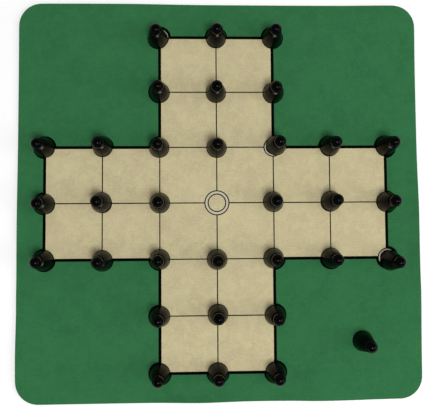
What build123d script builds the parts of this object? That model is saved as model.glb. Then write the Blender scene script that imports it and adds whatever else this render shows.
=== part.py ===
"""A peg solitaire set: a thin rubber-backed play mat with the cross-shaped board printed
on its cloth face, and the 33 hollow plastic pawns that are played on it.

Sizes are in millimetres. The origin is the middle of the mat's underside, X runs along
the mat's longer side, Y away from the player and Z up. Columns are lettered a to g from
the left and rows are numbered 1 to 7 from the player, so d4 is the centre point.
"""

import os
from math import sqrt

from build123d import *

# Mat
mat_width = 250.0
mat_depth = 247.5
mat_corner_radius = 14.0
backing_thickness = 1.6
face_thickness = 0.4

# Printed board
pitch_x = 35.5
pitch_y = 34.8
print_centre_x = -1.9
print_centre_y = -1.8
ink_thickness = 0.1
outline_width = 1.85
grid_line_width = 0.7
centre_ring_diameter = 15.0
centre_ring_spacing = 2.05
point_ring_diameter = 11.4
point_ring_spacing = 1.45
ring_line_width = 0.7

# Pawn
pawn_height = 24.0
head_diameter = 7.2
neck_diameter = 4.6
collar_diameter = 8.2
collar_height = 1.7
collar_edge = 0.7
collar_slope = 0.45
neck_length = 0.6
waist_diameter = 5.4
base_diameter = 12.8
base_rim_height = 1.3
shoulder_width = 0.3
flank_bulge = 0.7
wall_thickness = 1.2
cavity_height = 10.0
cavity_top_diameter = 5.6

# Set-aside pawn, measured from the centre point of the print
set_aside_x = 90.0
set_aside_y = -86.2

# How far pawns stand off their points where a hand put them down askew
askew = {
    "a4": (0.3, -0.3),
    "b3": (0.2, -0.5),
    "b4": (-0.5, 0.6),
    "b5": (0.2, 0.6),
    "c5": (-0.3, -0.2),
    "c6": (0.0, -0.5),
    "c7": (-1.1, -1.1),
    "d2": (0.2, 0.8),
    "d3": (-0.1, -0.3),
    "d5": (0.0, -0.4),
    "d6": (-0.2, -0.5),
    "d7": (0.0, -0.5),
    "e3": (-0.5, 0.2),
    "e4": (-0.4, 0.5),
    "e5": (1.9, 1.1),
    "e6": (0.1, -0.9),
    "e7": (0.0, -0.6),
    "f4": (0.5, 0.7),
    "f5": (0.2, 0.7),
    "g3": (1.7, -1.8),
    "g5": (0.0, 0.6),
}

# Derived heights and radii
mat_top = backing_thickness + face_thickness
print_top = mat_top + ink_thickness
board_steps = 6
arm_steps = 2
half_steps = board_steps // 2
half_arm = arm_steps // 2
half_ring_line = ring_line_width / 2


def point_name(column, row):
    """The name of a board point, counted in steps from the centre, such as d4."""
    return "abcdefg"[column + half_steps] + str(row + half_steps + 1)


def board_points():
    """The points of the cross as (name, x, y), with x and y from the print's centre."""
    points = []
    for row in range(-half_steps, half_steps + 1):
        for column in range(-half_steps, half_steps + 1):
            if abs(column) <= half_arm or abs(row) <= half_arm:
                name = point_name(column, row)
                points.append((name, column * pitch_x, row * pitch_y))
    return points


def mat_layer(label, bottom, thickness):
    """One full sheet of the mat, with its rounded corners."""
    with BuildPart() as layer:
        with BuildSketch(Plane.XY.offset(bottom)):
            RectangleRounded(mat_width, mat_depth, mat_corner_radius)
        extrude(amount=thickness)
    layer.part.label = label
    return layer.part


def draw_cross(margin, mode=Mode.ADD):
    """The board's cross in the sketch being drawn, grown by a margin on every side."""
    long_x = board_steps * pitch_x + 2 * margin
    long_y = board_steps * pitch_y + 2 * margin
    arm_x = arm_steps * pitch_x + 2 * margin
    arm_y = arm_steps * pitch_y + 2 * margin
    Rectangle(long_x, arm_y, mode=mode)
    Rectangle(arm_x, long_y, mode=mode)


def draw_grid_lines(mode=Mode.ADD):
    """The thin lines inside the outline: one full pair, and four short ones each way."""
    Rectangle(grid_line_width, board_steps * pitch_y, mode=mode)
    Rectangle(board_steps * pitch_x, grid_line_width, mode=mode)
    for step in (-half_steps + 1, -half_arm, half_arm, half_steps - 1):
        with Locations((step * pitch_x, 0)):
            Rectangle(grid_line_width, arm_steps * pitch_y, mode=mode)
        with Locations((0, step * pitch_y)):
            Rectangle(arm_steps * pitch_x, grid_line_width, mode=mode)


def draw_discs(circle, growth, mode=Mode.ADD):
    """A disc on every point, as large as its outer or inner circle and a growth.

    The centre point, which starts the game empty, has the larger pair of circles.
    """
    for name, x, y in board_points():
        diameter = point_ring_diameter
        spacing = point_ring_spacing
        if name == point_name(0, 0):
            diameter = centre_ring_diameter
            spacing = centre_ring_spacing
        radius = diameter / 2
        if circle == "inner":
            radius -= spacing
        with Locations((x, y)):
            Circle(radius + growth, mode=mode)


print_plane = Plane((print_centre_x, print_centre_y, mat_top))


def lines_ink():
    """Outline, grid lines and the two circles of every point, which are one black ink."""
    with BuildPart() as ink:
        with BuildSketch(print_plane):
            draw_cross(outline_width / 2)
            draw_cross(-outline_width / 2, mode=Mode.SUBTRACT)
            draw_grid_lines()
            draw_discs("outer", 0, mode=Mode.SUBTRACT)
            with BuildSketch(mode=Mode.ADD):
                draw_discs("outer", half_ring_line)
                draw_discs("outer", -half_ring_line, mode=Mode.SUBTRACT)
            with BuildSketch(mode=Mode.ADD):
                draw_discs("inner", half_ring_line)
                draw_discs("inner", -half_ring_line, mode=Mode.SUBTRACT)
        extrude(amount=ink_thickness)
    ink.part.label = "line_print"
    return ink.part


def cream_ink():
    """The cells between the lines, and the disc inside every point's inner circle."""
    with BuildPart() as ink:
        with BuildSketch(print_plane):
            draw_cross(-outline_width / 2)
            draw_grid_lines(mode=Mode.SUBTRACT)
            draw_discs("outer", half_ring_line, mode=Mode.SUBTRACT)
            draw_discs("inner", -half_ring_line)
        extrude(amount=ink_thickness)
    ink.part.label = "cream_print"
    return ink.part


def ring_ink():
    """The pale band between the two circles of every point."""
    with BuildPart() as ink:
        with BuildSketch(print_plane):
            draw_discs("outer", -half_ring_line)
            draw_discs("inner", half_ring_line, mode=Mode.SUBTRACT)
        extrude(amount=ink_thickness)
    ink.part.label = "ring_print"
    return ink.part


def pawn(label, x, y, bottom):
    """A moulded pawn, turned from one profile: rim, flank, collar, neck and ball head."""
    base = base_diameter / 2
    neck = neck_diameter / 2
    collar = collar_diameter / 2
    waist = waist_diameter / 2
    head = head_diameter / 2
    head_centre = pawn_height - head
    head_start = head_centre - sqrt(head**2 - neck**2)
    collar_top = head_start - neck_length
    collar_bottom = collar_top - collar_height
    edge_top = collar_top - collar_slope
    edge_bottom = edge_top - collar_edge
    edge_start = collar - collar_edge / 2
    flank_foot = base - shoulder_width
    flank_bottom = base_rim_height + shoulder_width / 2
    flank_middle = (flank_foot + waist) / 2 + flank_bulge
    cavity = base - wall_thickness
    cavity_top = cavity_top_diameter / 2
    upright = Plane((x, y, bottom), x_dir=(1, 0, 0), z_dir=(0, -1, 0))
    with BuildPart() as piece:
        with BuildSketch(upright):
            with BuildLine():
                Polyline((0, cavity_height), (cavity_top, cavity_height), (cavity, 0), (base, 0))
                Polyline((base, 0), (base, base_rim_height), (flank_foot, flank_bottom))
                ThreePointArc(
                    (flank_foot, flank_bottom),
                    (flank_middle, (flank_bottom + collar_bottom) / 2),
                    (waist, collar_bottom),
                )
                Line((waist, collar_bottom), (edge_start, edge_bottom))
                ThreePointArc(
                    (edge_start, edge_bottom),
                    (collar, (edge_bottom + edge_top) / 2),
                    (edge_start, edge_top),
                )
                Polyline((edge_start, edge_top), (neck, collar_top), (neck, head_start))
                ThreePointArc((neck, head_start), (head, head_centre), (0, pawn_height))
                Line((0, pawn_height), (0, cavity_height))
            make_face()
        revolve(axis=Axis((x, y, bottom), (0, 0, 1)))
    piece.part.label = label
    return piece.part


def write(part):
    """Each piece goes to its own STEP file, named by its label."""
    export_step(part, f"parts/{part.label}.step")
    print(part.label, "solids", len(part.solids()), "volume", round(part.volume, 1))


os.makedirs("parts", exist_ok=True)

write(mat_layer("rubber_backing", 0, backing_thickness))
write(mat_layer("green_face", backing_thickness, face_thickness))
write(cream_ink())
write(lines_ink())
write(ring_ink())

for name, along, away in board_points():
    if name == point_name(0, 0):
        continue
    off_x, off_y = askew.get(name, (0, 0))
    pawn_x = print_centre_x + along + off_x
    pawn_y = print_centre_y + away + off_y
    write(pawn("pawn_" + name, pawn_x, pawn_y, print_top))

write(pawn("pawn_set_aside", print_centre_x + set_aside_x, print_centre_y + set_aside_y, mat_top))
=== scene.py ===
# %% [markdown]
# # A peg solitaire mat and its pawns
# The game lies ready to play: a thin rubber-backed mat with the cross-shaped board printed
# on its green cloth, thirty-two black pawns on the printed points, the centre point empty,
# and one more pawn put aside on the cloth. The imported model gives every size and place, so
# this lesson loads it first and asks it where things are.

# %% Load the fixed model
import math

import bpy
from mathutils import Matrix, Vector


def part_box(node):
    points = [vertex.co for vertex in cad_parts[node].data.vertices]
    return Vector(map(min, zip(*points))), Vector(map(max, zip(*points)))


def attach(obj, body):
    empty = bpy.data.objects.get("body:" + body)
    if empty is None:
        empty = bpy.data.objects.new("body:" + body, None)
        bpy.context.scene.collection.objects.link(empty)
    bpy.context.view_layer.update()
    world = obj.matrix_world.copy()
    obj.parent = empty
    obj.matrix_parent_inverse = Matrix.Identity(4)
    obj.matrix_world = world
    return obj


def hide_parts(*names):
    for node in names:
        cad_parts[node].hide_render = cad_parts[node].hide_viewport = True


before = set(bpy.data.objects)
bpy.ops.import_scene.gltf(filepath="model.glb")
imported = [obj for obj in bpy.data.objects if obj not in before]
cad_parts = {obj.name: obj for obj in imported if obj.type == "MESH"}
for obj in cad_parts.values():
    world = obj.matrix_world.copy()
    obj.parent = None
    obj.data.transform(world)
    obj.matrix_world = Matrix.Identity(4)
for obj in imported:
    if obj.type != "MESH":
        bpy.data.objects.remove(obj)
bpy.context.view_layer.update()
MM = 0.001
pawn_names = sorted(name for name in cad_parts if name.startswith("pawn_"))
rubber_low, rubber_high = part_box("rubber_backing")
cloth_low, cloth_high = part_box("green_face")
print("pawns:", len(pawn_names))

# %% [markdown]
# Colours are written as the sRGB hex values that a paint program shows. Shaders work in
# linear light, so one function turns the hex value into linear numbers. A second small
# function adds a node with its settings and its links in one line, for materials and for
# Geometry Nodes alike, which keeps every tree below readable from top to bottom. A third
# empties the node tree of a new material or room, which Blender fills with a default.


# %% Helpers for colours and nodes
def linear(hex_colour):
    """The linear RGBA of an sRGB hex colour such as 2D6A40."""
    channels = [int(hex_colour[i:i + 2], 16) / 255 for i in (0, 2, 4)]
    bent = [c / 12.92 if c <= 0.04045 else ((c + 0.055) / 1.055) ** 2.4 for c in channels]
    return (*bent, 1.0)


def add_node(tree, kind, inputs=None, **settings):
    """Adds a node. An input is a number, a colour or another node's output socket."""
    node = tree.nodes.new(kind)
    for name, value in settings.items():
        setattr(node, name, value)
    for name, value in (inputs or {}).items():
        if isinstance(value, bpy.types.NodeSocket):
            tree.links.new(value, node.inputs[name])
        else:
            node.inputs[name].default_value = value
    return node


def empty_tree(owner):
    """The node tree of a material or a world, with nothing in it."""
    owner.use_nodes = True
    owner.node_tree.nodes.clear()
    return owner.node_tree


print("cloth green in linear light:", [round(c, 3) for c in linear("2D6A40")])

# %% [markdown]
# ## Camera
# The board was looked at from almost straight above, from about 40 cm. A pinhole camera was
# fitted to the crossings of the printed grid, the mat's edges and the way each pawn leans
# away from the picture's middle, which gives its place, its turn and its lens. The picture
# is trimmed a little unevenly round the mat, which a small lens shift follows.

# %% Camera from the fitted place, turn and focal length
image_width = 433
focal_pixels = 635.85
camera_place = Vector((-13.0, -15.25, 398.08)) * MM
camera_turn = (0.0574, -0.0373, -0.0071)
lens_shift = (-0.015, -0.0473)

camera_data = bpy.data.cameras.new("board_camera")
camera_data.sensor_width = 36.0
camera_data.lens = focal_pixels * camera_data.sensor_width / image_width
camera_data.shift_x, camera_data.shift_y = lens_shift
camera_data.clip_start = 0.01
camera_data.clip_end = 50
camera = bpy.data.objects.new("board_camera", camera_data)
camera.location = camera_place
camera.rotation_euler = camera_turn
bpy.context.collection.objects.link(camera)
bpy.context.scene.camera = camera
print("lens, mm:", round(camera_data.lens, 2))

# %% [markdown]
# ## Floor, room and lamps
# A pale tabletop carries the mat and keeps its soft shadow. It gives off a little light to
# the camera and to mirrored rays alone, so that unshaded tabletop reaches white while a
# shadow still darkens it. The room is a plain one, pale at the horizon and grey above. A
# glossy black pawn mirrors whatever stands round it and would turn grey in a white room,
# while a dark room would leave its shadow hard. A small lamp hangs above, a little in front,
# and mirrors as a spot on each ball. A wider, fainter one stands to the right.

# %% Tabletop
floor_size = 4.0
floor_glow = 0.32
floor_mesh = bpy.data.meshes.new("floor")
half_floor = floor_size / 2
floor_corners = [(-half_floor, -half_floor, 0), (half_floor, -half_floor, 0)]
floor_corners += [(half_floor, half_floor, 0), (-half_floor, half_floor, 0)]
floor_mesh.from_pydata(floor_corners, [], [(0, 1, 2, 3)])
floor = bpy.data.objects.new("floor", floor_mesh)
bpy.context.collection.objects.link(floor)

floor_material = bpy.data.materials.new("matt_white_tabletop")
tree = empty_tree(floor_material)
paths = add_node(tree, "ShaderNodeLightPath")
chalk = add_node(tree, "ShaderNodeBsdfDiffuse", {"Color": linear("E6E6E6")})
glow = add_node(tree, "ShaderNodeEmission", {"Color": (1, 1, 1, 1), "Strength": floor_glow})
both = add_node(tree, "ShaderNodeAddShader", {0: chalk.outputs[0], 1: glow.outputs[0]})
mirrored = add_node(tree, "ShaderNodeMath",
                    {0: paths.outputs["Is Camera Ray"], 1: paths.outputs["Is Glossy Ray"]},
                    operation="MAXIMUM")
looked_at = add_node(tree, "ShaderNodeMath",
                     {0: mirrored.outputs[0], 1: paths.outputs["Is Transmission Ray"]},
                     operation="MAXIMUM")
seen = add_node(tree, "ShaderNodeMixShader",
                {0: looked_at.outputs[0], 1: chalk.outputs[0], 2: both.outputs[0]})
add_node(tree, "ShaderNodeOutputMaterial", {"Surface": seen.outputs[0]})
floor_mesh.materials.append(floor_material)
print("tabletop, m:", floor_size)

# %% Room, shaded by how high a direction points, from 0 level to 1 straight up
horizon_ends, horizon_grey = 0.1, 0.6
ceiling_starts, ceiling_grey = 0.26, 0.32
world = bpy.data.worlds.new("plain_room")
bpy.context.scene.world = world
tree = empty_tree(world)
direction = add_node(tree, "ShaderNodeTexCoord")
height = add_node(tree, "ShaderNodeSeparateXYZ", {0: direction.outputs["Generated"]})
walls = add_node(tree, "ShaderNodeValToRGB", {"Fac": height.outputs["Z"]})
stops = ((horizon_ends, horizon_grey), (ceiling_starts, ceiling_grey))
for element, (position, grey) in zip(walls.color_ramp.elements, stops):
    element.position = position
    element.color = (grey, grey, grey, 1)
room = add_node(tree, "ShaderNodeBackground", {"Color": walls.outputs["Color"], "Strength": 1.0})
add_node(tree, "ShaderNodeOutputWorld", {"Surface": room.outputs[0]})
print("room, at the horizon and above:", horizon_grey, ceiling_grey)


# %% Lamps
def soft_lamp(name, place, size, power):
    """A square area lamp that looks at the middle of the board."""
    data = bpy.data.lights.new(name, "AREA")
    data.shape = "SQUARE"
    data.size = size
    data.energy = power
    lamp = bpy.data.objects.new(name, data)
    lamp.location = place
    lamp.rotation_euler = Vector(place).to_track_quat("Z", "Y").to_euler()
    bpy.context.collection.objects.link(lamp)
    return lamp


soft_lamp("lamp_above", place=(0.16, -0.35, 1.28), size=0.29, power=8.6)
soft_lamp("lamp_right", place=(1.05, -0.25, 0.80), size=0.8, power=4.6)

# %% [markdown]
# ## Materials
# Every surface here is a known one. The play side is a dyed interlock polyester knit, matt,
# with a fine grain of loops. The board is screen printed, so the ink sinks into the knit and
# repeats its grain a little flatter. Under it is moulded nitrile rubber foam, dull and
# finely dimpled. The pawns are moulded in black polystyrene from a polished mould, which
# leaves a glossy skin with a very slight orange peel.
#
# A real knit of this kind has about twenty loops to the centimetre. One loop is smaller
# than a pixel in the picture, so the grain is drawn at 1.8 mm, where it just shows. A wave
# texture at scale 1 makes a band every pi / 10, so its scale is worked out from the grain.
# Two waves, crossed and multiplied, are the rows and columns of loops. A noise texture at
# scale 1 makes a patch about 1 m wide, so one divided by a patch's size is its scale.

# %% Knit grain shared by cloth and ink
knit_grain = 1.8 * MM
loose_fibre = 2.4 * MM


def knit_height(tree, depth):
    """Adds the knit's bump from rows of loops and loose fibre, and returns its normal."""
    place = add_node(tree, "ShaderNodeTexCoord").outputs["Object"]
    wander = add_node(tree, "ShaderNodeTexNoise",
                      {"Vector": place, "Scale": 1 / loose_fibre, "Detail": 2.0})
    rows, columns = (
        add_node(tree, "ShaderNodeTexWave",
                 {"Vector": place, "Scale": math.pi / 10 / knit_grain, "Distortion": 1.6,
                  "Detail": 1.0, "Detail Scale": 2.0},
                 wave_type="BANDS", bands_direction=direction)
        for direction in ("X", "Y"))
    loops = add_node(tree, "ShaderNodeMath",
                     {0: rows.outputs["Fac"], 1: columns.outputs["Fac"]}, operation="MULTIPLY")
    fibre = add_node(tree, "ShaderNodeMath",
                     {0: wander.outputs["Fac"], 1: loops.outputs[0]}, operation="ADD")
    bump = add_node(tree, "ShaderNodeBump",
                    {"Height": fibre.outputs[0], "Strength": 0.4, "Distance": depth})
    return bump.outputs["Normal"], loops.outputs[0], place


print("knit grain, mm:", round(knit_grain / MM, 1))

# %% [markdown]
# No dyed or printed cloth is one even colour. Its shade wanders between two tones in broad
# patches and fine flecks, the ridges of the loops are painted a little lighter than the
# dips, a painted highlight where they would catch more light, and here and there it leans
# towards a third tone, where it was rubbed or stained. The rubber follows the same recipe,
# with deeper dimples in place of loops.

# %% One recipe for the matt surfaces
broad_patch = 14 * MM
fine_fleck = 1.1 * MM
stain_patch = 4 * MM
# How much lighter the painted highlight makes the ridges of the loops.
painted_ridge_highlight = 0.12


def matt_surface(name, dark, light, cast, roughness, depth, specular):
    """A matt knit surface whose colour wanders between two shades and towards a third."""
    material = bpy.data.materials.new(name)
    tree = empty_tree(material)
    normal, loops, place = knit_height(tree, depth)
    broad = add_node(tree, "ShaderNodeTexNoise",
                     {"Vector": place, "Scale": 1 / broad_patch, "Detail": 4.0, "Roughness": 0.6})
    fine = add_node(tree, "ShaderNodeTexNoise",
                    {"Vector": place, "Scale": 1 / fine_fleck, "Detail": 2.0})
    mixed = add_node(tree, "ShaderNodeMath", {0: broad.outputs["Fac"], 1: fine.outputs["Fac"]},
                     operation="ADD")
    # Painted highlight: the ridges of the loops are made lighter in colour, as if they caught more
    # light.
    grain = add_node(tree, "ShaderNodeMath", {0: loops, 1: painted_ridge_highlight}, operation="MULTIPLY")
    total = add_node(tree, "ShaderNodeMath", {0: mixed.outputs[0], 1: grain.outputs[0]},
                     operation="ADD")
    spread = add_node(tree, "ShaderNodeMapRange",
                      {"Value": total.outputs[0], "From Min": 0.7, "From Max": 1.4})
    shade = add_node(tree, "ShaderNodeMix",
                     {"Factor": spread.outputs[0], "A": linear(dark), "B": linear(light)},
                     data_type="RGBA")
    stain = add_node(tree, "ShaderNodeTexNoise",
                     {"Vector": place, "Scale": 1 / stain_patch, "Detail": 3.0, "Distortion": 0.6})
    amount = add_node(tree, "ShaderNodeMapRange",
                      {"Value": stain.outputs["Fac"], "From Min": 0.45, "From Max": 0.75,
                       "To Min": 0.0, "To Max": 0.8})
    colour = add_node(tree, "ShaderNodeMix",
                      {"Factor": amount.outputs[0], "A": shade.outputs["Result"],
                       "B": linear(cast)}, data_type="RGBA")
    shader = add_node(tree, "ShaderNodeBsdfPrincipled",
                      {"Base Color": colour.outputs["Result"], "Roughness": roughness,
                       "IOR": 1.5, "Specular IOR Level": specular, "Normal": normal})
    add_node(tree, "ShaderNodeOutputMaterial", {"Surface": shader.outputs[0]})
    return material


cloth_green = matt_surface(
    "dyed_interlock_polyester_knit", dark="2D6A40", light="357749", cast="387648",
    roughness=0.95, depth=0.10 * MM, specular=0.15)
ink_cream = matt_surface(
    "screen_printed_ink_cream", dark="C1B58F", light="D4C89F", cast="D6CC9D",
    roughness=0.85, depth=0.06 * MM, specular=0.15)
ink_black = matt_surface(
    "screen_printed_ink_black", dark="020202", light="060606", cast="040503",
    roughness=0.9, depth=0.04 * MM, specular=0.05)
ink_pale = matt_surface(
    "screen_printed_ink_pale", dark="C3BDA8", light="CDC7B3", cast="C9C3AC",
    roughness=0.8, depth=0.04 * MM, specular=0.15)
rubber = matt_surface(
    "moulded_nitrile_rubber_foam", dark="1C2A21", light="26362B", cast="222B25",
    roughness=0.9, depth=0.15 * MM, specular=0.3)
print("matt materials:", [m.name for m in (cloth_green, ink_cream, ink_black, ink_pale, rubber)])

# %% [markdown]
# The pawns' plastic is almost pure black and shows itself only by what it mirrors: the
# lamps as soft spots on the ball, the room on the collar, and the board on the steep flank,
# which is why a pawn on the cream part looks olive at the foot. Polystyrene has an index of
# refraction near 1.59. These pawns mirror less than that in the photograph, so the index
# was brought down to 1.5 and the specular level to 0.07. The ball is polished by fingers,
# so it is smoother than the flank. The two mould halves leave a hairline up the sides. It
# is drawn from the angle round the pawn, and the polish from the height up it. The pawn's
# Geometry Nodes tree stores both as attributes.

# %% Moulded black polystyrene
orange_peel = 1.4 * MM
handling_mark = 3.8 * MM
seam_starts = 0.9985
flank_roughness, ball_roughness = 0.3, 0.13
neck_low, neck_high = 15 * MM, 18 * MM
plastic = bpy.data.materials.new("moulded_gloss_polystyrene_black")
tree = empty_tree(plastic)
place = add_node(tree, "ShaderNodeTexCoord").outputs["Object"]
peel = add_node(tree, "ShaderNodeTexNoise",
                {"Vector": place, "Scale": 1 / orange_peel, "Detail": 1.0})
handling = add_node(tree, "ShaderNodeTexNoise",
                    {"Vector": place, "Scale": 1 / handling_mark, "Detail": 4.0})
round_it = add_node(tree, "ShaderNodeAttribute", attribute_name="angle_round").outputs["Fac"]
twice = add_node(tree, "ShaderNodeMath", {0: round_it, 1: 2.0}, operation="MULTIPLY")
ripple = add_node(tree, "ShaderNodeMath", {0: twice.outputs[0]}, operation="COSINE")
seam = add_node(tree, "ShaderNodeMapRange",
                {"Value": ripple.outputs[0], "From Min": seam_starts, "From Max": 1.0})
skin = add_node(tree, "ShaderNodeMath", {0: peel.outputs["Fac"], 1: 0.12}, operation="MULTIPLY")
raised = add_node(tree, "ShaderNodeMath", {0: skin.outputs[0], 1: seam.outputs[0]},
                  operation="ADD")
bump = add_node(tree, "ShaderNodeBump",
                {"Height": raised.outputs[0], "Strength": 0.35, "Distance": 0.05 * MM})
up = add_node(tree, "ShaderNodeAttribute", attribute_name="height_up").outputs["Fac"]
polish = add_node(tree, "ShaderNodeMapRange",
                  {"Value": up, "From Min": neck_low, "From Max": neck_high,
                   "To Min": flank_roughness, "To Max": ball_roughness})
marks = add_node(tree, "ShaderNodeMapRange",
                 {"Value": handling.outputs["Fac"], "From Min": 0.35, "From Max": 0.7,
                  "To Min": -0.04, "To Max": 0.06})
wear = add_node(tree, "ShaderNodeMath", {0: polish.outputs[0], 1: marks.outputs[0]},
                operation="ADD")
shader = add_node(tree, "ShaderNodeBsdfPrincipled",
                  {"Base Color": linear("010101"), "Roughness": wear.outputs[0], "IOR": 1.5,
                   "Specular IOR Level": 0.07, "Normal": bump.outputs["Normal"]})
add_node(tree, "ShaderNodeOutputMaterial", {"Surface": shader.outputs[0]})
print("pawn plastic:", plastic.name)

# %% [markdown]
# ## The mat
# The real mat is one limp sheet, die cut with rounded corners: green cloth bonded to rubber.
# It lies flat under the board, where it was pressed down, and lifts by up to two and a half
# millimetres in places along its edges, as a mat does that has been rolled up. A cloth
# simulation would settle it perfectly flat, so the lifts are listed as smooth bumps, placed
# where the mat's outline bulges in the picture. They fade out before the printed cross and
# before the pawn that stands on the green. The cross's arms, with some room round them, are
# given there in steps of its grid from the middle.
#
# Both layers come from one grid. Its corners are bent round by pulling each corner square
# of the grid onto a quarter disc, and extra rows near the rim round off the cut cloth edge.

# %% Height of the lying mat, from lifts with a place, a height and a reach in millimetres
half_width = cloth_high.x
half_depth = cloth_high.y
corner_radius = 14.0 * MM
line_low, line_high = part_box("line_print")
aside_low, aside_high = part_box("pawn_set_aside")
aside_middle = (aside_low + aside_high) / 2
print_middle = (line_low + line_high) / 2
pitch_x = 35.5 * MM
pitch_y = 34.8 * MM
arm_side, wide_end, tall_end = 1.3, 3.3, 3.25
pawn_room = 8 * MM
fade_width = 14 * MM

edge_lifts = [
    (-12, -124, 3.4, 14), (66, -124, 2.5, 20), (124, -52, 2.3, 26), (125, -6, 2.1, 16),
    (-125, -15, 3.0, 24), (-95, 120, 1.3, 24), (112, 116, 1.5, 18), (-52, 124, 1.2, 20),
    (-125, -96, 1.6, 14),
]


def clearance(x, y):
    """How far a place is from the cross, with some room round it, and from the pawn aside."""
    across = abs(x - print_middle.x)
    along = abs(y - print_middle.y)
    wide_arm = math.hypot(max(across - wide_end * pitch_x, 0), max(along - arm_side * pitch_y, 0))
    tall_arm = math.hypot(max(across - arm_side * pitch_x, 0), max(along - tall_end * pitch_y, 0))
    pawn = max(math.hypot(x - aside_middle.x, y - aside_middle.y) - pawn_room, 0)
    return min(wide_arm, tall_arm, pawn)


def lift(x, y):
    """How far the mat's layers stand above the tabletop at a place, in metres."""
    raised = sum(
        height * math.exp(-((x / MM - at_x) ** 2 + (y / MM - at_y) ** 2) / (2 * reach ** 2))
        for at_x, at_y, height, reach in edge_lifts
    )
    fade = min(clearance(x, y) / fade_width, 1)
    return raised * MM * fade * fade * (3 - 2 * fade)


print("lift at the lower edge, mm:", round(lift(66 * MM, -half_depth) / MM, 2))

# %% Grid lines of the mat in millimetres, closer together at the rim
rim_rows = [0.0, 0.1, 0.22, 0.4, 0.7, 1.2, 2.2]
inner_step = 2.6


def grid_stations(half):
    """Stations from one edge to the other, in metres, with the rim rows at both ends."""
    inside = half / MM - rim_rows[-1]
    count = 2 * round(inside / inner_step)
    middle = [-inside + 2 * inside * i / count for i in range(1, count)]
    low = [-half / MM + row for row in rim_rows]
    return [s * MM for s in (*low, *middle, *(-s for s in reversed(low)))]


def round_corner(x, y):
    """Pulls a grid place in a corner square onto the quarter disc that fits it."""
    centre_x = half_width - corner_radius
    centre_y = half_depth - corner_radius
    over_x = abs(x) - centre_x
    over_y = abs(y) - centre_y
    if over_x <= 0 or over_y <= 0:
        return x, y
    shrink = max(over_x, over_y) / math.hypot(over_x, over_y)
    new_x = centre_x + over_x * shrink
    new_y = centre_y + over_y * shrink
    return math.copysign(new_x, x), math.copysign(new_y, y)


def mat_layer(name, bottom, top, edge_round, material):
    """One closed layer of the mat, between two heights, that follows the lifts."""
    columns = grid_stations(half_width)
    rows = grid_stations(half_depth)
    verts = []
    for upper in (False, True):
        for y in rows:
            for x in columns:
                inset = min(half_width - abs(x), half_depth - abs(y))
                at_x, at_y = round_corner(x, y)
                height = bottom + lift(at_x, at_y)
                if upper:
                    short = max(edge_round - inset, 0) / edge_round
                    drop = edge_round * (1 - math.sqrt(1 - short ** 2))
                    height = top + lift(at_x, at_y) - drop
                verts.append((at_x, at_y, height))
    across, along = len(columns), len(rows)
    layer = across * along
    faces = []
    for j in range(along - 1):
        for i in range(across - 1):
            a = j * across + i
            faces.append((a, a + across, a + across + 1, a + 1))
            faces.append((layer + a, layer + a + 1, layer + a + across + 1, layer + a + across))
    rim = list(range(across))
    rim += [j * across + across - 1 for j in range(1, along)]
    rim += [layer - 1 - i for i in range(1, across)]
    rim += [j * across for j in range(along - 2, 0, -1)]
    for a, b in zip(rim, rim[1:] + rim[:1]):
        faces.append((a, b, layer + b, layer + a))
    mesh = bpy.data.meshes.new(name)
    mesh.from_pydata(verts, [], faces)
    mesh.shade_smooth()
    mesh.materials.append(material)
    piece = bpy.data.objects.new(name, mesh)
    bpy.context.collection.objects.link(piece)
    return piece


mat_rubber = mat_layer("mat_rubber", bottom=rubber_low.z, top=rubber_high.z,
                       edge_round=0.2 * MM, material=rubber)
mat_cloth = mat_layer("mat_cloth", bottom=cloth_low.z, top=cloth_high.z,
                      edge_round=0.35 * MM, material=cloth_green)
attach(mat_rubber, "mat")
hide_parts("rubber_backing")
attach(mat_cloth, "mat")
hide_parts("green_face")
print("mat layer faces:", len(mat_cloth.data.polygons))

# %% [markdown]
# ## Geometry Nodes, built in the script
# What repeats is made by Geometry Nodes: the printed lines, the circles at every point and
# the pawns. A small function makes an empty tree with named inputs. Another one puts it on
# an object, sets each input by its socket's identifier, and turns the evaluated result into
# a plain mesh, after which the modifier is gone and nothing is left to go wrong.


# %% Helpers for the trees
def new_tree(name, inputs):
    """An empty geometry tree with a Geometry input, named inputs and a Geometry output."""
    tree = bpy.data.node_groups.new(name, "GeometryNodeTree")
    tree.interface.new_socket("Geometry", in_out="INPUT", socket_type="NodeSocketGeometry")
    for label, kind in inputs:
        tree.interface.new_socket(label, in_out="INPUT", socket_type=kind)
    tree.interface.new_socket("Geometry", in_out="OUTPUT", socket_type="NodeSocketGeometry")
    return tree, add_node(tree, "NodeGroupInput")


def plain_mesh(name, source, tree, values):
    """Runs a tree on a source mesh and returns a new object that holds the plain result."""
    carrier = bpy.data.objects.new(name + "_source", source)
    bpy.context.collection.objects.link(carrier)
    modifier = carrier.modifiers.new("build", "NODES")
    modifier.node_group = tree
    sockets = {item.name: item.identifier for item in tree.interface.items_tree
               if item.in_out == "INPUT"}
    for label, value in values.items():
        modifier[sockets[label]] = value
    bpy.context.view_layer.update()
    graph = bpy.context.evaluated_depsgraph_get()
    mesh = bpy.data.meshes.new_from_object(carrier.evaluated_get(graph))
    carrier.modifiers.clear()
    bpy.data.objects.remove(carrier)
    mesh.name = name
    piece = bpy.data.objects.new(name, mesh)
    bpy.context.collection.objects.link(piece)
    return piece


print("helpers for the trees:", new_tree.__name__, plain_mesh.__name__)
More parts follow.
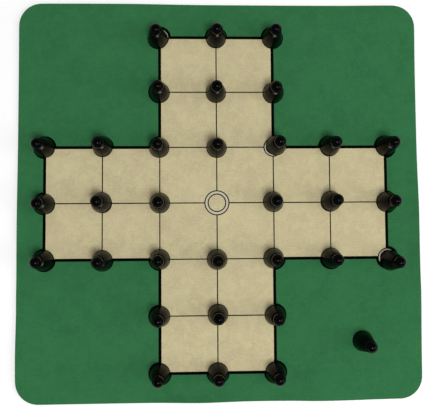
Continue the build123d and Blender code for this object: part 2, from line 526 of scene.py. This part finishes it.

# %% [markdown]
# ## The printed board
# The board is three inks, one over the other, as a screen printer lays them: a cream cross
# first, then the black outline and grid lines, then at each point a pair of circles with a
# pale band between them. The circles are stacked discs, each a hundredth of a millimetre
# prouder than the one below, so no ring has to be cut out of another. The centre point has
# a larger pair than the others, whose circles are narrower than a pawn's foot and hide
# under it. Round each point a larger black disc lies lower than the cream, so it shows on
# the green and nowhere else, as a black ring just outside the foot of each pawn there.
# That ring is painted shade: black ink standing in for the dark contact shade round the
# feet on the green.

# %% Sizes of the print
outline_width = 1.85 * MM
grid_line = 0.7 * MM
ring_line = 0.7 * MM
centre_ring = 15.0 * MM
centre_band = 2.05 * MM
point_ring = 11.4 * MM
point_band = 1.45 * MM
# Painted shade: a black disc this wide lies under the cream at each point and shows as a black
# ring round each foot on the green.
foot_shade_disc = 14.3 * MM
ink_bottom = cloth_high.z
film = 0.01 * MM
cream_top = ink_bottom + 0.05 * MM
points_across = 7
steps_across = points_across - 1


def cross_corners(margin):
    """The twelve corners of the cross, grown by a margin, anticlockwise."""
    wide = steps_across / 2 * pitch_x + margin
    tall = steps_across / 2 * pitch_y + margin
    arm_x = pitch_x + margin
    arm_y = pitch_y + margin
    corners = [(wide, -arm_y), (wide, arm_y), (arm_x, arm_y), (arm_x, tall)]
    corners += [(-arm_x, tall), (-arm_x, arm_y), (-wide, arm_y), (-wide, -arm_y)]
    corners += [(-arm_x, -arm_y), (-arm_x, -tall), (arm_x, -tall), (arm_x, -arm_y)]
    return [(x + print_middle.x, y + print_middle.y) for x, y in corners]


def cross_film(name, top):
    """The cream cross as a thin closed plate."""
    corners = cross_corners(0.0)
    verts = [(x, y, ink_bottom) for x, y in corners] + [(x, y, top) for x, y in corners]
    count = len(corners)
    faces = [tuple(reversed(range(count))), tuple(range(count, 2 * count))]
    for i in range(count):
        j = (i + 1) % count
        faces.append((i, j, count + j, count + i))
    mesh = bpy.data.meshes.new(name)
    mesh.from_pydata(verts, [], faces)
    return mesh


def cross_outline(name, top):
    """The thick outline as a closed band between a larger and a smaller cross."""
    outside = cross_corners(outline_width / 2)
    inside = cross_corners(-outline_width / 2)
    count = len(outside)
    verts = [(x, y, z) for z in (ink_bottom, top) for ring in (outside, inside) for x, y in ring]
    faces = []
    for i in range(count):
        j = (i + 1) % count
        faces.append((i, j, 2 * count + j, 2 * count + i))
        faces.append((count + j, count + i, 3 * count + i, 3 * count + j))
        faces.append((2 * count + i, 2 * count + j, 3 * count + j, 3 * count + i))
        faces.append((j, i, count + i, count + j))
    mesh = bpy.data.meshes.new(name)
    mesh.from_pydata(verts, [], faces)
    return mesh


cross_size = [round(steps_across * pitch / MM, 1) for pitch in (pitch_x, pitch_y)]
print("cross, mm:", cross_size)

# %% [markdown]
# One tree sets the discs. It makes a seven by seven lattice of points at the board's pitch,
# deletes the four corner blocks, and stands one thin cylinder on every point that is left,
# with a larger one on the centre. The same tree serves every layer of a point. A corner
# block starts one and a half steps from the middle, both ways.

# %% Tree for the discs on the points
corner_starts = 1.5
point_sides, centre_sides = 96, 128
disc_tree, given = new_tree("discs_on_the_points", [
    ("Pitch X", "NodeSocketFloat"), ("Pitch Y", "NodeSocketFloat"),
    ("Middle", "NodeSocketVector"), ("Point Radius", "NodeSocketFloat"),
    ("Centre Radius", "NodeSocketFloat"), ("Thickness", "NodeSocketFloat"),
    ("Ink", "NodeSocketMaterial"),
])
tree = disc_tree
wide, tall = (
    add_node(tree, "ShaderNodeMath", {0: given.outputs[pitch], 1: steps_across},
             operation="MULTIPLY")
    for pitch in ("Pitch X", "Pitch Y"))
lattice = add_node(tree, "GeometryNodeMeshGrid",
                   {"Size X": wide.outputs[0], "Size Y": tall.outputs[0],
                    "Vertices X": points_across, "Vertices Y": points_across})
spot = add_node(tree, "GeometryNodeInputPosition")
parts = add_node(tree, "ShaderNodeSeparateXYZ", {0: spot.outputs[0]})
far = []
for way in ("X", "Y"):
    distance = add_node(tree, "ShaderNodeMath", {0: parts.outputs[way]}, operation="ABSOLUTE")
    limit = add_node(tree, "ShaderNodeMath",
                     {0: given.outputs["Pitch " + way], 1: corner_starts}, operation="MULTIPLY")
    far.append(add_node(tree, "ShaderNodeMath", {0: distance.outputs[0], 1: limit.outputs[0]},
                        operation="GREATER_THAN"))
corner = add_node(tree, "ShaderNodeMath", {0: far[0].outputs[0], 1: far[1].outputs[0]},
                  operation="MULTIPLY")
board = add_node(tree, "GeometryNodeDeleteGeometry",
                 {"Geometry": lattice.outputs["Mesh"], "Selection": corner.outputs[0]},
                 domain="POINT")
reach = add_node(tree, "ShaderNodeVectorMath", {0: spot.outputs[0]}, operation="LENGTH")
near = add_node(tree, "ShaderNodeMath", {0: reach.outputs["Value"], 1: 1 * MM},
                operation="LESS_THAN")
others = add_node(tree, "ShaderNodeMath", {0: 1.0, 1: near.outputs[0]}, operation="SUBTRACT")
moved = add_node(tree, "GeometryNodeSetPosition",
                 {"Geometry": board.outputs[0], "Offset": given.outputs["Middle"]})
small = add_node(tree, "GeometryNodeMeshCylinder",
                 {"Vertices": point_sides, "Radius": given.outputs["Point Radius"],
                  "Depth": given.outputs["Thickness"]}, fill_type="NGON")
large = add_node(tree, "GeometryNodeMeshCylinder",
                 {"Vertices": centre_sides, "Radius": given.outputs["Centre Radius"],
                  "Depth": given.outputs["Thickness"]}, fill_type="NGON")
is_small = add_node(tree, "GeometryNodeCaptureAttribute", {"Geometry": board.outputs[0]})
is_small.capture_items.new("FLOAT", "others")
tree.links.new(others.outputs[0], is_small.inputs["others"])
tree.links.new(is_small.outputs["Geometry"], moved.inputs["Geometry"])
is_large = add_node(tree, "ShaderNodeMath", {0: 1.0, 1: is_small.outputs["others"]},
                    operation="SUBTRACT")
on_points = add_node(tree, "GeometryNodeInstanceOnPoints",
                     {"Points": moved.outputs[0], "Selection": is_small.outputs["others"],
                      "Instance": small.outputs["Mesh"]})
on_centre = add_node(tree, "GeometryNodeInstanceOnPoints",
                     {"Points": moved.outputs[0], "Selection": is_large.outputs[0],
                      "Instance": large.outputs["Mesh"]})
joined = add_node(tree, "GeometryNodeJoinGeometry", {0: on_points.outputs[0]})
tree.links.new(on_centre.outputs[0], joined.inputs[0])
real = add_node(tree, "GeometryNodeRealizeInstances", {0: joined.outputs[0]})
inked = add_node(tree, "GeometryNodeSetMaterial",
                 {"Geometry": real.outputs[0], "Material": given.outputs["Ink"]})
add_node(tree, "NodeGroupOutput", {"Geometry": inked.outputs[0]})


def point_discs(name, inset, level, ink):
    """A disc on every point, up to one level of the stack of films.

    Its inset from the outer circle is given for a point and for the centre.
    """
    top = cream_top + level * film
    middle = (print_middle.x, print_middle.y, (ink_bottom + top) / 2)
    return plain_mesh(name, bpy.data.meshes.new(name + "_start"), disc_tree, {
        "Pitch X": pitch_x, "Pitch Y": pitch_y, "Middle": middle,
        "Point Radius": point_ring / 2 - inset[0], "Centre Radius": centre_ring / 2 - inset[1],
        "Thickness": top - ink_bottom, "Ink": ink,
    })


print("nodes in the disc tree:", len(disc_tree.nodes))

# %% [markdown]
# The thin grid lines are five lines each way: a long one through the middle and two short
# ones on each side of it. A second tree sets unit cubes on a row of five points and scales
# each to the line's width and length. The thick outline comes in as the tree's own input
# geometry, so outline and lines leave it as one ink.

# %% Tree for the grid lines
lines_each_way = 5
middle_line = 2
short_span = 2
line_tree, given = new_tree("grid_lines", [
    ("Pitch X", "NodeSocketFloat"), ("Pitch Y", "NodeSocketFloat"),
    ("Middle", "NodeSocketVector"), ("Line Width", "NodeSocketFloat"),
    ("Thickness", "NodeSocketFloat"), ("Ink", "NodeSocketMaterial"),
])
tree = line_tree
cube = add_node(tree, "GeometryNodeMeshCube", {"Size": (1, 1, 1)})
order = add_node(tree, "GeometryNodeInputIndex")
is_long = add_node(tree, "ShaderNodeMath", {0: order.outputs[0], 1: middle_line, 2: 0.1},
                   operation="COMPARE")
spans = add_node(tree, "ShaderNodeMath",
                 {0: is_long.outputs[0], 1: steps_across - short_span, 2: short_span},
                 operation="MULTIPLY_ADD")
joined = add_node(tree, "GeometryNodeJoinGeometry", {0: given.outputs["Geometry"]})
for step_way, span_way in (("X", "Y"), ("Y", "X")):
    step_pitch, span_pitch = (given.outputs["Pitch " + way] for way in (step_way, span_way))
    back = add_node(tree, "ShaderNodeMath", {0: step_pitch, 1: -middle_line},
                    operation="MULTIPLY")
    first = add_node(tree, "ShaderNodeCombineXYZ", {step_way: back.outputs[0]})
    start = add_node(tree, "ShaderNodeVectorMath",
                     {0: given.outputs["Middle"], 1: first.outputs[0]}, operation="ADD")
    step = add_node(tree, "ShaderNodeCombineXYZ", {step_way: step_pitch})
    row = add_node(tree, "GeometryNodeMeshLine",
                   {"Count": lines_each_way, "Start Location": start.outputs[0],
                    "Offset": step.outputs[0]}, mode="OFFSET")
    span = add_node(tree, "ShaderNodeMath", {0: spans.outputs[0], 1: span_pitch},
                    operation="MULTIPLY")
    size = add_node(tree, "ShaderNodeCombineXYZ",
                    {step_way: given.outputs["Line Width"], span_way: span.outputs[0],
                     "Z": given.outputs["Thickness"]})
    bars = add_node(tree, "GeometryNodeInstanceOnPoints",
                    {"Points": row.outputs["Mesh"], "Instance": cube.outputs["Mesh"],
                     "Scale": size.outputs[0]})
    tree.links.new(bars.outputs[0], joined.inputs[0])
real = add_node(tree, "GeometryNodeRealizeInstances", {0: joined.outputs[0]})
inked = add_node(tree, "GeometryNodeSetMaterial",
                 {"Geometry": real.outputs[0], "Material": given.outputs["Ink"]})
add_node(tree, "NodeGroupOutput", {"Geometry": inked.outputs[0]})
print("nodes in the line tree:", len(line_tree.nodes))


# %% Lay the inks one over the other
def join_into(first, *rest):
    """Adds the meshes of some objects to the first one's mesh."""
    with bpy.context.temp_override(active_object=first, selected_editable_objects=[first, *rest]):
        bpy.ops.object.join()
    return first


line_top = cream_top + film
line_middle = (print_middle.x, print_middle.y, (ink_bottom + line_top) / 2)
half_line = ring_line / 2
black = plain_mesh("printed_lines", cross_outline("outline", line_top), line_tree, {
    "Pitch X": pitch_x, "Pitch Y": pitch_y, "Middle": line_middle,
    "Line Width": grid_line, "Thickness": line_top - ink_bottom, "Ink": ink_black,
})
# Painted shade: black ink round each foot, seen only on the green, where the feet's contact shade
# falls.
painted_foot_shade = point_discs("painted_foot_shade_rings", inset=((point_ring - foot_shade_disc) / 2, half_line),
                   level=-2, ink=ink_black)
outer_line = point_discs("outer_circles", inset=(-half_line, -half_line),
                         level=2, ink=ink_black)
band = point_discs("printed_bands", inset=(half_line, half_line),
                   level=3, ink=ink_pale)
inner_line = point_discs("inner_circles", inset=(point_band - half_line, centre_band - half_line),
                         level=4, ink=ink_black)
inside = point_discs("inner_discs", inset=(point_band + half_line, centre_band + half_line),
                     level=5, ink=ink_cream)
cream_mesh = cross_film("printed_cream", cream_top)
cream_mesh.materials.append(ink_cream)
cream = bpy.data.objects.new("printed_cream", cream_mesh)
bpy.context.collection.objects.link(cream)
join_into(black, painted_foot_shade, outer_line, inner_line)
join_into(cream, inside)

for piece, node, ink in ((cream, "cream_print", "cream_ink"), (black, "line_print", "black_ink"),
                         (band, "ring_print", "pale_ink")):
    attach(piece, "mat")
    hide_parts(node)
    print(piece.name, "faces:", len(piece.data.polygons))

# %% [markdown]
# ## The pawns
# A pawn this small is moulded hollow, and its whole shape is one profile turned round an
# axis: a ceiling and wall inside, a foot with a low rim, a flank that swells and then sweeps
# in, a collar with a rounded edge, a short neck and a ball. Every corner of a moulding is
# slightly round, because a mould is cut with a round tool and a sharp edge would chip, so
# each corner of the profile is replaced by a small arc before it is turned. The rim is
# softest: it is cut a little lower and the flank starts a little higher, so that a wide
# arc fits between them.

# %% Profile of a pawn, as radius and height in millimetres
pawn_height = 24.0
head_radius = 3.6
neck_radius = 2.3
collar_radius = 4.1
collar_height = 1.7
collar_edge = 0.7
collar_slope = 0.45
neck_length = 0.6
waist_radius = 2.7
foot_radius = 6.4
rim_height = 1.3
shoulder = 0.3
rim_softness = 0.3
flank_bulge = 0.7
wall = 1.2
cavity_height = 10.0
cavity_top_radius = 2.8


def arc_through(a, b, c, steps):
    """Points on the circle through three points, from the first to the last."""
    ax, ay, bx, by, cx, cy = *a, *b, *c
    d = 2 * (ax * (by - cy) + bx * (cy - ay) + cx * (ay - by))
    ux = ((ax * ax + ay * ay) * (by - cy) + (bx * bx + by * by) * (cy - ay)
          + (cx * cx + cy * cy) * (ay - by)) / d
    uy = ((ax * ax + ay * ay) * (cx - bx) + (bx * bx + by * by) * (ax - cx)
          + (cx * cx + cy * cy) * (bx - ax)) / d
    radius = math.hypot(ax - ux, ay - uy)
    start, middle, end = (math.atan2(p[1] - uy, p[0] - ux) for p in (a, b, c))
    turn = (end - start) % math.tau
    if (middle - start) % math.tau > turn:
        turn -= math.tau
    return [(ux + radius * math.cos(start + turn * i / steps),
             uy + radius * math.sin(start + turn * i / steps)) for i in range(steps + 1)]


def round_off(points, radii, steps=4):
    """Replaces each corner that has a radius, by its number in the list, by a small arc."""
    out = []
    for i, point in enumerate(points):
        radius = radii.get(i, 0)
        if not radius:
            out.append(point)
            continue
        here = Vector(point)
        to_last = (Vector(points[i - 1]) - here).normalized()
        to_next = (Vector(points[i + 1]) - here).normalized()
        half = to_last.angle(to_next) / 2
        back = radius / math.tan(half)
        centre = here + (to_last + to_next).normalized() * radius / math.sin(half)
        middle = centre + (here - centre).normalized() * radius
        out += arc_through(here + to_last * back, middle, here + to_next * back, steps)
    return [tuple(p) for p in out]


head_middle = pawn_height - head_radius
head_start = head_middle - math.sqrt(head_radius ** 2 - neck_radius ** 2)
collar_top = head_start - neck_length
collar_bottom = collar_top - collar_height
edge_top = collar_top - collar_slope
edge_bottom = edge_top - collar_edge
edge_start = collar_radius - collar_edge / 2
rim_top = rim_height - rim_softness
flank_foot = (foot_radius - shoulder, rim_height + shoulder / 2 + rim_softness)
flank_middle = ((flank_foot[0] + waist_radius) / 2 + flank_bulge,
                (flank_foot[1] + collar_bottom) / 2)
foot = round_off(
    [(0, cavity_height), (cavity_top_radius, cavity_height), (foot_radius - wall, 0),
     (foot_radius, 0), (foot_radius, rim_top), flank_foot, flank_middle],
    radii={1: 0.5, 2: 0.15, 3: 0.2, 4: 0.9, 5: 0.9})[:-1]
flank = arc_through(flank_foot, flank_middle, (waist_radius, collar_bottom), steps=18)[1:-1]
collar = round_off(
    [flank[-1], (waist_radius, collar_bottom), (edge_start, edge_bottom)], radii={1: 0.3})[1:]
edge = arc_through((edge_start, edge_bottom), (collar_radius, (edge_bottom + edge_top) / 2),
                   (edge_start, edge_top), steps=8)[1:]
neck = round_off(
    [edge[-1], (neck_radius, collar_top), (neck_radius, head_start)], radii={1: 0.2})[1:]
ball = arc_through((neck_radius, head_start), (head_radius, head_middle), (0, pawn_height),
                   steps=26)[1:]
profile = foot + flank + collar + edge + neck + ball
profile_mesh = bpy.data.meshes.new("pawn_profile")
profile_mesh.from_pydata([(r * MM, 0, z * MM) for r, z in profile],
                         [(i, i + 1) for i in range(len(profile) - 1)], [])
print("profile points:", len(profile), "foot, mm:", 2 * foot_radius)

# %% [markdown]
# The tree is a lathe. It lays out a grid with one column for each point of the profile and
# one row for each step round the axis, reads the profile's radius and height by index, and
# swings every grid point to its angle. Merging by distance closes the seam and the two
# poles. The finished pawn is set down on one point, turned by its own angle so that no two
# seams line up, and realized. Each turns on from the last by the golden angle, which never
# comes round to the same direction.

# %% Lathe tree
lathe_tree, given = new_tree("turned_pawn", [
    ("Steps Round", "NodeSocketInt"), ("Profile Points", "NodeSocketInt"),
    ("Place", "NodeSocketVector"), ("Turn", "NodeSocketFloat"), ("Plastic", "NodeSocketMaterial"),
])
tree = lathe_tree
rows = add_node(tree, "ShaderNodeMath", {0: given.outputs["Steps Round"], 1: 1.0},
                operation="ADD")
sheet = add_node(tree, "GeometryNodeMeshGrid",
                 {"Size X": 1.0, "Size Y": 1.0, "Vertices X": given.outputs["Profile Points"],
                  "Vertices Y": rows.outputs[0]})
order = add_node(tree, "GeometryNodeInputIndex")
share = add_node(tree, "ShaderNodeMath", {0: order.outputs[0], 1: rows.outputs[0]},
                 operation="DIVIDE")
column = add_node(tree, "ShaderNodeMath", {0: share.outputs[0]}, operation="FLOOR")
row = add_node(tree, "ShaderNodeMath", {0: order.outputs[0], 1: rows.outputs[0]},
               operation="MODULO")
swing = add_node(tree, "ShaderNodeMath", {0: row.outputs[0], 1: given.outputs["Steps Round"]},
                 operation="DIVIDE")
angle = add_node(tree, "ShaderNodeMath", {0: swing.outputs[0], 1: math.tau},
                 operation="MULTIPLY")
spot = add_node(tree, "GeometryNodeInputPosition")
read = add_node(tree, "GeometryNodeSampleIndex",
                {"Geometry": given.outputs["Geometry"], "Value": spot.outputs[0],
                 "Index": column.outputs[0]}, data_type="FLOAT_VECTOR", domain="POINT")
swung = add_node(tree, "ShaderNodeVectorRotate",
                 {"Vector": read.outputs[0], "Angle": angle.outputs[0]}, rotation_type="Z_AXIS")
turned = add_node(tree, "GeometryNodeSetPosition",
                  {"Geometry": sheet.outputs["Mesh"], "Position": swung.outputs[0]})
angled = add_node(tree, "GeometryNodeStoreNamedAttribute",
                  {"Geometry": turned.outputs[0], "Name": "angle_round",
                   "Value": angle.outputs[0]}, data_type="FLOAT", domain="POINT")
levels = add_node(tree, "ShaderNodeSeparateXYZ", {0: read.outputs[0]})
measured = add_node(tree, "GeometryNodeStoreNamedAttribute",
                    {"Geometry": angled.outputs[0], "Name": "height_up",
                     "Value": levels.outputs["Z"]}, data_type="FLOAT", domain="POINT")
closed = add_node(tree, "GeometryNodeMergeByDistance",
                  {"Geometry": measured.outputs[0], "Distance": 0.002 * MM})
smooth = add_node(tree, "GeometryNodeSetShadeSmooth", {"Geometry": closed.outputs[0]})
single = add_node(tree, "GeometryNodeMeshLine",
                  {"Count": 1, "Start Location": given.outputs["Place"]}, mode="OFFSET")
yaw = add_node(tree, "ShaderNodeCombineXYZ", {"Z": given.outputs["Turn"]})
stood = add_node(tree, "GeometryNodeInstanceOnPoints",
                 {"Points": single.outputs["Mesh"], "Instance": smooth.outputs[0],
                  "Rotation": yaw.outputs[0]})
real = add_node(tree, "GeometryNodeRealizeInstances", {0: stood.outputs[0]})
coated = add_node(tree, "GeometryNodeSetMaterial",
                  {"Geometry": real.outputs[0], "Material": given.outputs["Plastic"]})
add_node(tree, "NodeGroupOutput", {"Geometry": coated.outputs[0]})
print("nodes in the lathe tree:", len(lathe_tree.nodes))

# %% Stand a pawn wherever the model has one
steps_round = 72
golden_angle = 2.399
for number, name in enumerate(pawn_names):
    low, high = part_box(name)
    place = ((low.x + high.x) / 2, (low.y + high.y) / 2, low.z)
    piece = plain_mesh("turned_" + name, profile_mesh, lathe_tree, {
        "Steps Round": steps_round, "Profile Points": len(profile), "Place": place,
        "Turn": (number * golden_angle) % math.tau, "Plastic": plastic,
    })
    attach(piece, name)
    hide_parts(name)
print("pawn faces:", len(piece.data.polygons), "last at, mm:", [round(v / MM, 1) for v in place])

# %% [markdown]
# ## Finish
# The view transform is Standard, so a colour comes out as it was written.

bpy.context.scene.view_settings.view_transform = "Standard"
